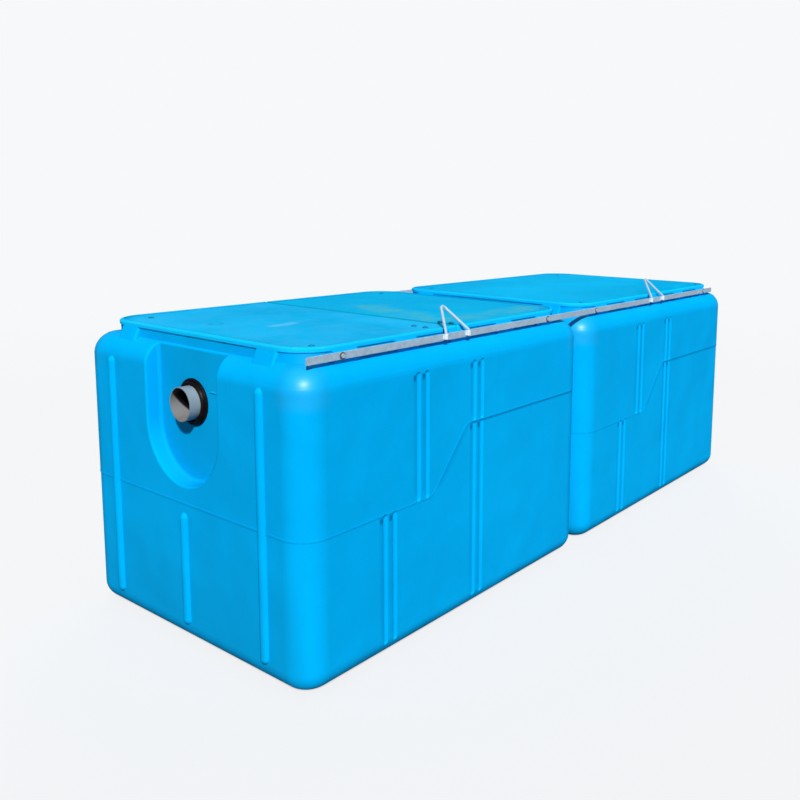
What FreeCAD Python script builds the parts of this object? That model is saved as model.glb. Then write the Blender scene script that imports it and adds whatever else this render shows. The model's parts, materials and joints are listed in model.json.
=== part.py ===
import FreeCAD, Part
import math
import os

V = FreeCAD.Vector

# Overall sizes of one tank, in mm
tank_length = 1472.0
tank_width = 1150.0
ledge_height = 975.0
tank_gap = 31.0
wall = 10.0
fit_gap = 0.3
overshoot = 200.0

# Rounded edges of the moulding
corner_radius = 90.0
shoulder_radius = 76.0
floor_radius = 66.0

# Flat joints that part the moulding into trough, ends and top
end_joint = 110.0
top_joint_drop = 60.0

# Stepped parting line: low at the inlet end, high at the other
parting_low = 476.0
parting_high = 686.0
ramp_start = 545.0
ramp_end = 722.0
ramp_bend = 45.0
parting_step = 1.0
bead_out = 1.0
bead_half = 3.0
bead_clear = 3.0
step_ease = 1.0

# Neck, its outward lands and the bridge between the hatches
neck_height = 31.0
neck_inset = 58.0
neck_wall = 12.0
land_width = 98.0
land_count = 5
land_from_end = 213.0
land_foot = 29.0
land_sink = 25.0
land_lift = 2.0
land_bevel = 14.0
land_edge = 8.0
bridge_width = 40.0
hatch_corner = 12.0

# Covers
cover_depth = 15.0
rim_inset = 54.0
rim_corner = 123.0
rim_width = 13.0
panel_drop = 3.0
cover_seam = 2.0
cover_edge = 7.0
seam_corner = 10.0

# Pipe pockets in the end walls
pipe_drop = 178.0
pocket_half_width = 190.0
pocket_drop = 265.0
pocket_depth = 50.0
pocket_draft = 4.0
mouth_round = 8.0
back_round = 12.0

# Pipes and their rubber seals
pipe_outer = 55.0
pipe_wall = 3.2
pipe_inside = 95.0
seal_web = 11.0
seal_flange = 22.0
seal_flange_depth = 8.0
seal_collar = 9.0
seal_collar_depth = 13.0
seal_bevel = 4.0

# Half-round ribs of the end walls
rib_radius = 18.0
rib_out = 13.0
rib_from_side = 181.0
rib_bottom = 84.0
rib_drop = 85.0
middle_rib_drop = 50.0

# Paired grooves of the long walls
groove_radius = 13.0
groove_depth = 6.5
groove_pitch = 42.0
groove_bottom = 56.0
groove_drop = 83.0
groove_stop = 11.0
upper_groove = 497.0
lower_groove = 345.0
long_groove = 785.0

# Steel rails along the shoulders, and the lifting lugs of the right one
right_rail_start = 50.0
left_rail_start = 135.0
rail_stop = 108.0
rail_inset = 30.0
rail_lift = 6.0
rail_tall = 23.0
rail_thick = 5.0
rail_edge = 1.2
lug_centre = 697.0
lug_spread = 119.0
lug_bar = 5.0
lug_stand = 2.0
lug_rise = 83.0
lug_lean = 68.0
crown_half = 9.0
crown_drop = 4.0
crown_back = 2.0
sleeve_wall = 2.5
sleeve_tall = 16.0
sleeve_lift = 6.0

# Levels and places that follow from the sizes above
half_width = tank_width / 2
neck_inner = neck_inset + neck_wall
neck_corner = rim_corner + rim_inset - neck_inset
hatch_round = neck_corner - neck_wall
blend_low = (parting_low + floor_radius) / 2
blend_high = (parting_high + ledge_height) / 2
hollow_lift = wall - step_ease
cover_base = ledge_height + neck_height
rim_top = cover_base + cover_depth
pipe_height = ledge_height - pipe_drop
pocket_bottom = pipe_height - pocket_drop
top_joint = ledge_height - top_joint_drop
seal_hole = pipe_outer + seal_web
seal_outer = pipe_outer + seal_flange
rib_offset = half_width - rib_from_side
rib_top = ledge_height - rib_drop
middle_rib_top = parting_low - middle_rib_drop
groove_top = ledge_height - groove_drop
rail_base = ledge_height + rail_lift
rail_top = rail_base + rail_tall
sleeve_base = rail_base + sleeve_lift
sleeve_outer = lug_bar + sleeve_wall
lug_axis = rail_inset - lug_bar - lug_stand
land_pitch = (tank_length - 2 * land_from_end) / (land_count - 1)
total_length = 2 * tank_length + tank_gap


def rounded_face(x0, x1, y0, y1, z, radii):
    """A flat face with one corner radius per corner, from (x0, y0) anticlockwise."""
    corners = [V(x0, y0, z), V(x1, y0, z), V(x1, y1, z), V(x0, y1, z)]
    along = [V(1, 0, 0), V(0, 1, 0), V(-1, 0, 0), V(0, -1, 0)]
    ends = []
    arcs = []
    for i in range(4):
        r = radii[i]
        before = corners[i] - along[i - 1] * r
        after = corners[i] + along[i] * r
        middle = corners[i] + (along[i] - along[i - 1]) * (r * (1 - math.sqrt(0.5)))
        ends.append((before, after))
        arcs.append(Part.Arc(before, middle, after).toShape())
    edges = []
    for i in range(4):
        edges.append(arcs[i])
        edges.append(Part.makeLine(ends[i][1], ends[(i + 1) % 4][0]))
    return Part.Face(Part.Wire(edges))


def plan_block(inset, radius, z0, z1):
    """An upright block over the tank's plan, shrunk by an inset."""
    y = half_width - inset
    face = rounded_face(inset, tank_length - inset, -y, y, z0, [radius] * 4)
    return face.extrude(V(0, 0, z1 - z0))


def edges_at(solid, z):
    """The edges of a solid that lie in one level plane."""
    return [e for e in solid.Edges if all(abs(v.Z - z) < 1e-4 for v in e.Vertexes)]


def bent_line(points, radius):
    """Edges of a line through points in the XZ plane, each inner bend rounded."""
    edges = []
    last = points[0]
    for i in range(1, len(points) - 1):
        a = (points[i - 1] - points[i]).normalize()
        b = (points[i + 1] - points[i]).normalize()
        half = a.getAngle(b) / 2
        reach = radius / math.tan(half)
        start = points[i] + a * reach
        end = points[i] + b * reach
        bisector = (a + b).normalize()
        middle = points[i] + bisector * (radius / math.sin(half) - radius)
        edges.append(Part.makeLine(last, start))
        edges.append(Part.Arc(start, middle, end).toShape())
        last = end
    edges.append(Part.makeLine(last, points[-1]))
    return edges


def parting_edges(shift):
    """The stepped parting line seen from the side, raised by a shift."""
    y = -tank_width
    points = [
        V(-overshoot, y, parting_low + shift),
        V(ramp_start, y, parting_low + shift),
        V(ramp_end, y, parting_high + shift),
        V(tank_length + overshoot, y, parting_high + shift),
    ]
    return bent_line(points, ramp_bend)


def region_below(shift):
    """Everything under the parting line."""
    y = -tank_width
    top = parting_edges(shift)
    left = V(-overshoot, y, parting_low + shift)
    right = V(tank_length + overshoot, y, parting_high + shift)
    low_left = V(-overshoot, y, -overshoot)
    low_right = V(tank_length + overshoot, y, -overshoot)
    wire = Part.Wire(top + [Part.makeLine(right, low_right), Part.makeLine(low_right, low_left),
                            Part.makeLine(low_left, left)])
    return Part.Face(wire).extrude(V(0, 2 * tank_width, 0))


def pocket_tool(extra):
    """The inlet end's pocket, grown by an extra: a U that narrows inwards to a rounded back edge."""
    flare = pocket_draft / pocket_depth
    mouth = pocket_half_width + extra * math.sqrt(1 + flare * flare)
    depth = pocket_depth + extra
    outer = mouth + flare * overshoot
    inner = mouth - flare * depth
    centre = pocket_bottom + pocket_half_width
    top = rim_top + overshoot
    foot = Part.makeCone(outer, inner, overshoot + depth, V(-overshoot, 0, centre), V(1, 0, 0))
    foot = foot.cut(zone(-tank_length, tank_length, centre, centre + tank_width))
    corners = [
        V(-overshoot, -outer, centre), V(depth, -inner, centre),
        V(depth, inner, centre), V(-overshoot, outer, centre),
    ]
    throat = Part.Face(Part.makePolygon(corners + corners[:1])).extrude(V(0, 0, top - centre))
    tool = foot.fuse(throat).removeSplitter()
    back = [e for e in tool.Edges if all(abs(v.X - depth) < 1e-4 for v in e.Vertexes)]
    back = [e for e in back if e.CenterOfMass.z < top - 1]
    return tool.makeFillet(back_round + extra, back)


def at_both_ends(tool):
    """A tool of the inlet end and its like at the other end."""
    return [tool, tool.mirror(V(tank_length / 2, 0, 0), V(1, 0, 0))]


def middle_point(edge):
    """The point half way along an edge."""
    first, last = edge.ParameterRange
    return Part.Vertex(edge.valueAt((first + last) / 2))


def with_pockets(block, extra, radius, open_top):
    """A block with the end pockets sunk in it and, where there is a radius, their mouths rounded."""
    for tool in at_both_ends(pocket_tool(extra)):
        cut = block.cut(tool)
        if radius <= 0:
            block = cut
            continue
        mouth = []
        for edge in cut.Edges:
            point = middle_point(edge)
            on_both = max(point.distToShape(block.Shells[0])[0], point.distToShape(tool.Shells[0])[0]) < 1e-3
            if on_both and abs(point.Z - open_top) > 1e-3:
                mouth.append(edge)
        block = cut.makeFillet(radius, mouth)
    return block


def moulded_form(inset, shift):
    """The tank's rounded body, shrunk by an inset: the upper half stands proud of the lower half."""
    upper = plan_block(inset, corner_radius - inset, blend_low, ledge_height - inset)
    upper = upper.makeFillet(shoulder_radius - inset, edges_at(upper, ledge_height - inset))
    upper = with_pockets(upper, inset, mouth_round - inset, rim_top)
    lower_inset = inset + parting_step
    lower = plan_block(lower_inset, corner_radius - lower_inset, inset, ledge_height)
    lower = lower.makeFillet(floor_radius - lower_inset, edges_at(lower, inset))
    lower = with_pockets(lower, inset, mouth_round - inset, ledge_height)
    below = region_below(shift)
    return upper.cut(below).fuse(lower.common(below)).removeSplitter()


def parting_bead():
    """The fine raised line where the halves of the mould meet."""
    band = region_below(bead_half).cut(region_below(-bead_half))
    bead = plan_block(-bead_out, corner_radius + bead_out, blend_low, blend_high).common(band)
    return bead.cut(at_both_ends(pocket_tool(mouth_round + bead_clear)))


def capsule(x, y, z0, z1, radius):
    """An upright round bar with ball ends."""
    bar = Part.makeCylinder(radius, z1 - z0, V(x, y, z0))
    bar = bar.fuse(Part.makeSphere(radius, V(x, y, z0)))
    return bar.fuse(Part.makeSphere(radius, V(x, y, z1))).removeSplitter()


def end_ribs():
    """Half-round ribs on both end walls."""
    ribs = []
    for x in (rib_radius - rib_out, tank_length - rib_radius + rib_out):
        for y in (-rib_offset, rib_offset):
            ribs.append(capsule(x, y, rib_bottom, rib_top, rib_radius))
        ribs.append(capsule(x, 0, rib_bottom, middle_rib_top, rib_radius))
    return ribs


def groove_runs():
    """Each groove as (x, lower z, upper z, depth of the wall face it is sunk in)."""
    runs = []
    low = parting_low - groove_stop
    for side in (-0.5, 0.5):
        step = side * groove_pitch
        runs.append((upper_groove + step, parting_low + groove_stop, groove_top, 0.0))
        runs.append((lower_groove + step, groove_bottom, low, parting_step))
        runs.append((long_groove + step, groove_bottom, parting_high - groove_stop, parting_step))
        runs.append((long_groove + step, parting_high + groove_stop, groove_top, 0.0))
    return runs


def grooves(extra):
    """The grooves of both long walls as round bars, thickened by an extra."""
    bars = []
    for x, z0, z1, face in groove_runs():
        reach = half_width - face + groove_radius - groove_depth
        for side in (-1, 1):
            bars.append(capsule(x, side * reach, z0, z1, groove_radius + extra))
    return bars


def land(profile, start, length, turn):
    """An outward land of the neck, drawn as (inset, z) and run along a wall."""
    points = [V(0, inset, z) for inset, z in profile]
    face = Part.Face(Part.makePolygon(points + points[:1]))
    block = face.extrude(V(length, 0, 0))
    block.translate(V(start, -half_width, 0))
    if turn:
        block.rotate(V(tank_length / 2, 0, 0), V(0, 0, 1), 180)
    return block


def end_land(profile, y, far):
    """The same kind of land on an end wall."""
    points = [V(inset, y - land_width / 2, z) for inset, z in profile]
    block = Part.Face(Part.makePolygon(points + points[:1])).extrude(V(0, land_width, 0))
    slope = [e for e in block.Edges if abs(e.CenterOfMass.x - (land_foot + rim_inset) / 2) < 0.1]
    block = block.makeFillet(land_edge, [e for e in slope if e.Length < land_width])
    if far:
        block = block.mirror(V(tank_length / 2, 0, 0), V(1, 0, 0))
    return block


def neck_with_lands():
    """The raised neck under the covers, with sloped lands between open notches."""
    root = ledge_height - land_sink
    inner = neck_inset + neck_wall / 2
    face = rail_inset + rail_thick
    neck = plan_block(neck_inset, neck_corner, ledge_height - wall, cover_base)
    side = [
        (inner, root), (rim_inset, root), (face, rail_base + land_lift), (face, cover_base - land_bevel),
        (rim_inset, cover_base), (inner, cover_base),
    ]
    end = [(inner, root), (land_foot, root), (rim_inset, cover_base), (inner, cover_base)]
    pieces = []
    for i in range(land_count):
        start = land_from_end + i * land_pitch - land_width / 2
        for turn in (False, True):
            pieces.append(land(side, start, land_width, turn))
    for y in (-half_width + land_from_end, half_width - land_from_end):
        for far in (False, True):
            pieces.append(end_land(end, y, far))
    return neck.fuse(pieces)


def hatch_tools():
    """The two openings inside the neck, either side of the bridge."""
    y = half_width - neck_inner
    bridge = (tank_length - bridge_width) / 2
    low = ledge_height - 2 * wall
    radii = (hatch_round, hatch_corner, hatch_corner, hatch_round)
    face = rounded_face(neck_inner, bridge, -y, y, low, radii)
    return at_both_ends(face.extrude(V(0, 0, overshoot)))


def tank_shell():
    """One rotationally moulded tank, hollow, with its neck open at the top."""
    form = moulded_form(0, 0)
    form = form.fuse([parting_bead()] + end_ribs())
    form = form.cut(grooves(0))
    form = form.fuse(neck_with_lands())
    hollow = moulded_form(wall, hollow_lift)
    hollow = hollow.cut(grooves(wall))
    form = form.cut(hollow)
    form = form.cut(hatch_tools())
    hole = Part.makeCylinder(seal_hole, pocket_depth + 2 * wall, V(0, 0, pipe_height), V(1, 0, 0))
    return form.cut(at_both_ends(hole)).removeSplitter()


def zone(x0, x1, z0, z1):
    """A box across the whole width of a tank."""
    return Part.makeBox(x1 - x0, 2 * tank_width, z1 - z0, V(x0, -tank_width, z0))


def parted_shell():
    """The moulding parted at flat joints into its trough, its two ends and its top."""
    moulding = tank_shell()
    far_joint = tank_length - end_joint
    far_side = tank_length + overshoot
    zones = {
        "shell": zone(end_joint, far_joint, -overshoot, top_joint),
        "front_end": zone(-overshoot, end_joint, -overshoot, top_joint),
        "rear_end": zone(far_joint, far_side, -overshoot, top_joint),
        "top": zone(-overshoot, far_side, top_joint, rim_top + overshoot),
    }
    return {name: moulding.common(box) for name, box in zones.items()}


def cover(x0, x1, front_round, rear_round):
    """A flat-bottomed cover: a raised rim with a softened edge round a lower panel, open at a seam."""
    front = rim_corner if front_round else seam_corner
    rear = rim_corner if rear_round else seam_corner
    y = half_width - rim_inset
    plate = rounded_face(x0, x1, -y, y, cover_base, (front, rear, rear, front))
    plate = plate.extrude(V(0, 0, cover_depth))
    plate = plate.makeFillet(cover_edge, edges_at(plate, rim_top))
    near = x0 + rim_width if front_round else x0 - overshoot
    far = x1 - rim_width if rear_round else x1 + overshoot
    y -= rim_width
    panel = rounded_face(near, far, -y, y, rim_top - panel_drop, [rim_corner - rim_width] * 4)
    return plate.cut(panel.extrude(V(0, 0, cover_depth)))


def pipe(x0, x1):
    """A plain length of drain pipe along the tank."""
    outer = Part.makeCylinder(pipe_outer, x1 - x0, V(x0, 0, pipe_height), V(1, 0, 0))
    bore = Part.makeCylinder(pipe_outer - pipe_wall, x1 - x0, V(x0, 0, pipe_height), V(1, 0, 0))
    return outer.cut(bore)


def seal(x, inward):
    """A rubber ring seal, turned about the pipe: a lip on each side of the pocket's back wall."""
    inner = pipe_outer + fit_gap
    hole = seal_hole - fit_gap
    near = -fit_gap
    far = wall + fit_gap
    collar = inner + seal_collar
    rim = seal_outer - seal_bevel
    face = near - seal_flange_depth
    back = far + seal_flange_depth
    half = [
        (near - seal_collar_depth, inner), (near - seal_collar_depth, collar), (face, collar + seal_bevel),
        (face, rim), (face + seal_bevel, seal_outer), (near, seal_outer), (near, hole),
        (far, hole), (far, seal_outer), (back - seal_bevel, seal_outer), (back, rim),
        (back, collar + seal_bevel), (far + seal_collar_depth, collar), (far + seal_collar_depth, inner),
    ]
    points = [V(x + inward * a, 0, pipe_height + r) for a, r in half]
    face = Part.Face(Part.makePolygon(points + points[:1]))
    return face.revolve(V(0, 0, pipe_height), V(1, 0, 0), 360)


def rail(start, side):
    """A flat steel rail with eased edges, bolted to the lands along one shoulder."""
    length = total_length - start - rail_stop
    bar = Part.makeBox(length, rail_thick, rail_tall, V(start, -half_width + rail_inset, rail_base))
    bar = bar.makeFillet(rail_edge, [e for e in bar.Edges if e.Length > length - 1])
    return bar if side < 0 else bar.mirror(V(0, 0, 0), V(0, 1, 0))


def round_bar(points, radius):
    """A round bar through points, with ball-rounded bends."""
    bar = None
    for a, b in zip(points[:-1], points[1:]):
        run = b - a
        length = run.Length
        piece = Part.makeCylinder(radius, length, a, run)
        if b is not points[-1]:
            piece = piece.fuse(Part.makeSphere(radius, b))
        bar = piece if bar is None else bar.fuse(piece)
    return bar.removeSplitter()


def lug(x):
    """A lifting lug bent from round bar, leaning in over the cover."""
    y = -half_width + lug_axis
    knee = rail_top + lug_bar / 2
    half = lug_spread / 2
    crown = V(x, y + lug_lean, rail_top + lug_rise)
    left_bend = crown + V(-crown_half, -crown_back, -crown_drop)
    right_bend = crown + V(crown_half, -crown_back, -crown_drop)
    points = [
        V(x - half, y, sleeve_base), V(x - half, y, knee), left_bend, crown,
        right_bend, V(x + half, y, knee), V(x + half, y, sleeve_base),
    ]
    return round_bar(points, lug_bar)


def sleeve(x):
    """A short sleeve welded to the rail's face, holding one foot of a lug."""
    y = -half_width + lug_axis
    tube = Part.makeCylinder(sleeve_outer, sleeve_tall, V(x, y, sleeve_base))
    bore = Part.makeCylinder(lug_bar + fit_gap, 2 * sleeve_tall, V(x, y, sleeve_base - sleeve_tall / 2))
    behind = Part.makeBox(4 * sleeve_outer, 4 * sleeve_outer, 2 * sleeve_tall)
    behind.translate(V(x - 2 * sleeve_outer, -half_width + rail_inset, sleeve_base - sleeve_tall / 2))
    return tube.cut(bore).cut(behind)


def build():
    """All pieces by name, placed about the middle of the pair at floor level."""
    pieces = {}
    starts = {"front": 0.0, "rear": tank_length + tank_gap}
    for name, start in starts.items():
        for part, solid in parted_shell().items():
            solid.translate(V(start, 0, 0))
            pieces[name + "_tank_" + part] = solid
    middle = tank_length / 2
    near = rim_inset
    far = tank_length - rim_inset
    pieces["front_tank_inlet_cover"] = cover(near, middle - cover_seam / 2, True, False)
    pieces["front_tank_rear_cover"] = cover(middle + cover_seam / 2, far, False, True)
    pieces["rear_tank_cover"] = cover(near, far, True, True)
    pieces["rear_tank_cover"].translate(V(starts["rear"], 0, 0))

    back = pocket_depth
    pieces["inlet_pipe"] = pipe(0, back + wall + pipe_inside)
    pieces["inlet_seal"] = seal(back, 1)
    join = tank_length + tank_gap
    pieces["transfer_pipe"] = pipe(tank_length - back - wall - pipe_inside, join + back + wall + pipe_inside)
    pieces["front_transfer_seal"] = seal(tank_length - back, -1)
    pieces["rear_transfer_seal"] = seal(join + back, 1)
    pieces["outlet_pipe"] = pipe(total_length - back - wall - pipe_inside, total_length)
    pieces["outlet_seal"] = seal(total_length - back, -1)

    pieces["right_rail"] = rail(right_rail_start, -1)
    pieces["left_rail"] = rail(left_rail_start, 1)
    for name, start in starts.items():
        x = start + lug_centre
        pieces[name + "_lifting_lug"] = lug(x)
        pieces[name + "_lug_front_sleeve"] = sleeve(x - lug_spread / 2)
        pieces[name + "_lug_rear_sleeve"] = sleeve(x + lug_spread / 2)

    os.makedirs("parts", exist_ok=True)
    for name, shape in pieces.items():
        shape.translate(V(-total_length / 2, 0, 0))
        if shape.ShapeType != "Solid":
            shape = shape.Solids[0] if len(shape.Solids) == 1 else shape
        shape.exportStep("parts/" + name + ".step")
        box = shape.BoundBox
        print(name, shape.ShapeType, len(shape.Solids), shape.isValid(), round(shape.Volume / 1e6, 3),
              [round(v, 1) for v in (box.XMin, box.XMax, box.YMin, box.YMax, box.ZMin, box.ZMax)])


build()
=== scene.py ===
import json
from functools import partial, reduce
from math import cos, pi, radians, sin

import bmesh
import bpy
from bpy.props import FloatProperty, FloatVectorProperty, PointerProperty
from bpy.types import NodeSocket, Operator, Panel, PropertyGroup
from mathutils import Matrix, Vector, noise


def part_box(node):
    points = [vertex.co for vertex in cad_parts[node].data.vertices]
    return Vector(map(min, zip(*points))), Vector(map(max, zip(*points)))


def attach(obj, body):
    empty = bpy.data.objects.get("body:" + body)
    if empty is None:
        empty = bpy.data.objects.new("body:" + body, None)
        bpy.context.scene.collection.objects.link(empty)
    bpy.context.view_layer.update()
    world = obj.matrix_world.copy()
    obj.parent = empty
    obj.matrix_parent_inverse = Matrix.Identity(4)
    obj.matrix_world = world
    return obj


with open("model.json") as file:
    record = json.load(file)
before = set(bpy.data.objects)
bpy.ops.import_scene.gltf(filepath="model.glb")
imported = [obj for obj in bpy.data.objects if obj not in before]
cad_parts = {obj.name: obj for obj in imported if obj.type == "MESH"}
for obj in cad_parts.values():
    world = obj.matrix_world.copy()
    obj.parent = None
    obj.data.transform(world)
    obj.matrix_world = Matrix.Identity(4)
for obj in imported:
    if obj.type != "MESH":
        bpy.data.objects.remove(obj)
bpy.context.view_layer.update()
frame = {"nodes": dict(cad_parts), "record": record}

bl_info = {
    "name": "Oil separator",
    "version": (1, 0, 0),
    "blender": (4, 5, 0),
    "location": "View3D > Sidebar > Separator",
    "description": "Finishes and small fittings of a pair of moulded oil separator tanks",
    "category": "Object",
}

mounts = {mount["name"]: Vector(mount["pos_m"]) for mount in frame["record"]["mounts"]}
inlet = mounts["inlet"]
tank_middles = {"front": mounts["front_base"].x, "rear": mounts["rear_base"].x}
half_tank = tank_middles["front"] - inlet.x
half_width = -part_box("front_tank_shell")[0][1]

TANK_NODES = [tank + "_tank_" + part for tank in tank_middles
              for part in ("shell", "front_end", "rear_end", "top")]
COVER_NODES = ["front_tank_inlet_cover", "front_tank_rear_cover", "rear_tank_cover"]
PIPE_NODES = ["inlet_pipe", "transfer_pipe", "outlet_pipe"]
SEAL_NODES = ["inlet_seal", "front_transfer_seal", "rear_transfer_seal", "outlet_seal"]
RAIL_NODES = ["right_rail", "left_rail"]
LUG_NODES = ["front_lifting_lug", "rear_lifting_lug"]
SLEEVE_NODES = [tank + "_lug_" + end + "_sleeve" for tank in tank_middles for end in ("front", "rear")]

# Lengths and places are in metres

# Each pair of grooves as distance from the tank's front end, foot and head
GROOVE_PAIRS = ((0.497, 0.487, 0.892), (0.345, 0.056, 0.465), (0.785, 0.056, 0.675), (0.785, 0.697, 0.892))
GROOVE_PITCH = 0.042
# How far a groove's shaded wall lies towards the front end
GROOVE_SHADE = 0.013

# The stepped parting line: heights of its level runs, and where its slope starts and ends
PARTING_LOW, PARTING_HIGH = 0.476, 0.686
RAMP_START, RAMP_END = 0.545, 0.722

# Shares of painted shade at the grooves' heads, along the grooves, under the parting line and beside its
# slope
HEAD_SHADE, WALL_SHADE, LINE_SHADE, SLOPE_SHADE = 0.85, 0.16, 0.45, 0.24

# The end pockets, the painted shade in them and the painted shade low on the end walls
POCKET_DEPTH, POCKET_HALF_WIDTH, POCKET_FOOT = 0.050, 0.190, 0.52
POCKET_SHADE, FOOT_SHADE = 0.27, 0.36

# Height from which faint runs fade downwards, and how the upper corners' gloss fades out and sets in
RUN_HEIGHT = 0.93
GLOSS_REACH = (0.07, 0.13)
GLOSS_RISE = (0.838, 0.878)

# Marks on the covers as (start, end, width): films of dried water, a stain and a scrape
FILM_RUNS = (((-0.565, 0.09), (-0.625, -0.15), 0.024), ((-0.635, -0.15), (-0.69, -0.34), 0.012),
             ((-0.54, -0.412), (-0.10, -0.402), 0.014), ((-0.69, -0.34), (-0.56, -0.40), 0.010))
STAIN = ((-0.53, 0.0), (-0.485, -0.19), 0.016)
SCRAPE = ((-1.165, -0.062), (-1.078, -0.052), 0.007)

# A ring-shaped mark on a cover, and the radius of the covers' corners
RING_SPOT, RING_RADIUS = (-1.263, 0.124), 0.021
COVER_CORNER = 0.123

# A radius inside the wall of the pipes
IN_PIPE_WALL = 0.053

# Zinc coats as colour, dull colour, crystals to the metre and share of the metal look
ZINC_COATS = {
    "weathered zinc": ("zinc", "dull", 95.0, 1.0),
    "lug zinc": ("lug", "lug_dull", 240.0, 1.0),
    "bright zinc": ("bright", "clouded", 240.0, 1.5),
    "aged zinc": ("aged", "stain", 160.0, 1.25),
}

# Each bolt is turned by this angle more than the one before it
BOLT_TURN = 0.7

# A plug's rim and groove as shares of its height and radius, and how far it is sunk
PLUG_RIM = ((0.30, 1.0), (0.42, 0.96), (0.42, 0.90), (0.22, 0.87), (0.22, 0.80))
PLUG_SUNK = 0.0004
DOME_STEPS = 6

# Steps along and around a weld, how lumpy it is, and how far it is sunk into sleeve and rail
WELD_STEPS, WELD_RING_STEPS = 18, 40
WELD_LUMPS = 0.18
WELD_IN_SLEEVE, WELD_IN_RAIL = 0.0012, 0.0008

# The moulded bar's distance from the seal, its height above the pipe's axis, and its steps
MARK_GAP, MARK_RISE, MARK_STEPS = 0.029, 0.044, 16

# The lights without glints: the directions towards them and how wide they look
BACK_TOWARDS, BACK_WIDTH = Vector((0.70, 0.66, 0.22)), radians(40)
OVERHEAD_TOWARDS, OVERHEAD_WIDTH = Vector((0.05, 0.02, 1)), radians(90)
LAMP_DISTANCE = 6

# Where the floor fades into the backdrop, and the width of the camera's frame in millimetres
FLOOR_FADE = (3.2, 9.0)
FRAME_WIDTH = 36

# Sockets of shared effects that hold more than a number
SOCKET_KINDS = {"Colour": "Color", "Shade": "Color", "Dust": "Color", "Dull": "Color",
                "Start": "Vector", "End": "Vector"}


def numbers(name, description, *default, **kind):
    """A row of numbers of some kind that a user may change."""
    return FloatVectorProperty(name=name, description=description, size=len(default), default=default, **kind)


def paint(name, description, *rgb):
    """A colour that a user may change."""
    return numbers(name, description, *rgb, 1, subtype="COLOR", min=0, max=1)


def number(name, description, default, **kind):
    """A number of some kind that a user may change."""
    return FloatProperty(name=name, description=description, default=default, **kind)


length = partial(number, unit="LENGTH", subtype="DISTANCE", min=0)
share = partial(number, subtype="FACTOR", min=0, max=1)
angle = partial(number, subtype="ANGLE")
strength = partial(number, min=0)


class TankFinish(PropertyGroup):
    """Finish of the moulded tanks."""
    colour: paint("Tank colour", "Colour of the moulded polyethylene", 0.0, 0.379, 0.800)
    shade: paint("Low shade", "Darker tone of the cloudy skin", 0.0, 0.355, 0.762)
    scuff: paint("Scuff colour", "Pale colour of rubbed skin", 0.02, 0.455, 0.83)
    # Also the colour of the painted shade in the end pockets and low on the end walls
    grime: paint("Grime colour", "Colour of splashes low on the walls", 0.002, 0.26, 0.52)
    # Painted shade: the dark blue laid in the grooves' walls and heads and under the parting line
    groove: paint("Groove colour", "Dark blue of dirt in the grooves' heads", 0.0, 0.105, 0.34)
    glint: paint("Glint colour", "Colour of glints on the skin", 0.10, 0.85, 1.0)
    roughness: share("Roughness", "Roughness of the moulded skin", 0.42)
    gloss: share("Corner gloss", "How much the upper corners shine", 0.85)
    scuffs: share("Scuffs", "How much rubbing shows", 0.07)
    grime_amount: share("Grime", "How much splashed dirt shows", 0.16)
    mark_length: length("Mark length", "Length of the moulded bar in the inlet pocket", 0.026)
    mark_height: length("Mark height", "Height of the moulded bar", 0.006)


class CoverFinish(PropertyGroup):
    """Finish of the flat covers."""
    colour: paint("First cover", "Colour of the cover at the inlet", 0.004, 0.408, 0.757)
    second: paint("Second cover", "Colour of the front tank's second cover", 0.0, 0.384, 0.682)
    rear: paint("Rear cover", "Colour of the rear tank's cover", 0.0, 0.418, 0.768)
    shade: paint("Low shade", "Darker tone of the cloudy covers", 0.0, 0.342, 0.655)
    # Painted highlight: the paler blue along the covers' rounded edges
    lip: paint("Lip colour", "Paler blue of the covers' rubbed edges", 0.004, 0.480, 0.900)
    glint: paint("Glint colour", "Colour of glints on the covers", 0.10, 0.85, 1.0)
    dust: paint("Dust colour", "Pale dust trodden into the first cover", 0.062, 0.430, 0.785)
    film: paint("Film colour", "Greenish film left by standing water", 0.050, 0.385, 0.515)
    scuff: paint("Scuff colour", "Pale colour of scratches", 0.14, 0.52, 0.80)
    seam: paint("Seam colour", "Dark dirt gathered along the seam", 0.0, 0.265, 0.455)
    plug: paint("Plug colour", "Dark blue of the plugs", 0.0, 0.130, 0.27)
    roughness: share("Roughness", "Roughness of the trodden covers", 0.58)
    dust_amount: share("Dust", "How much dust lies on the covers", 0.55)


class PlumbingFinish(PropertyGroup):
    """Finish of pipes and rubber seals."""
    pipe: paint("Pipe colour", "Grey of the drain pipe", 0.195, 0.250, 0.290)
    pipe_pale: paint("Pale pipe", "Paler clouds in the drain pipe", 0.28, 0.345, 0.385)
    pipe_film: paint("Pipe film", "Dull film inside the pipe", 0.200, 0.200, 0.202)
    # Painted shadow: the near black high up and deep inside the pipe
    pipe_soot: paint("Pipe soot", "Dark film deep in the pipe", 0.005, 0.005, 0.006)
    pipe_dirt: paint("Pipe dirt", "Dirt along the floor of the pipe", 0.17, 0.150, 0.130)
    pipe_scuff: paint("Pipe scuffs", "Pale colour of scratches on the pipe", 0.36, 0.41, 0.44)
    rubber: paint("Rubber colour", "Black of the ring seals", 0.0035, 0.0035, 0.0042)
    bloom: paint("Rubber bloom", "Brown-grey bloom on old rubber", 0.016, 0.0125, 0.0115)


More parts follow.
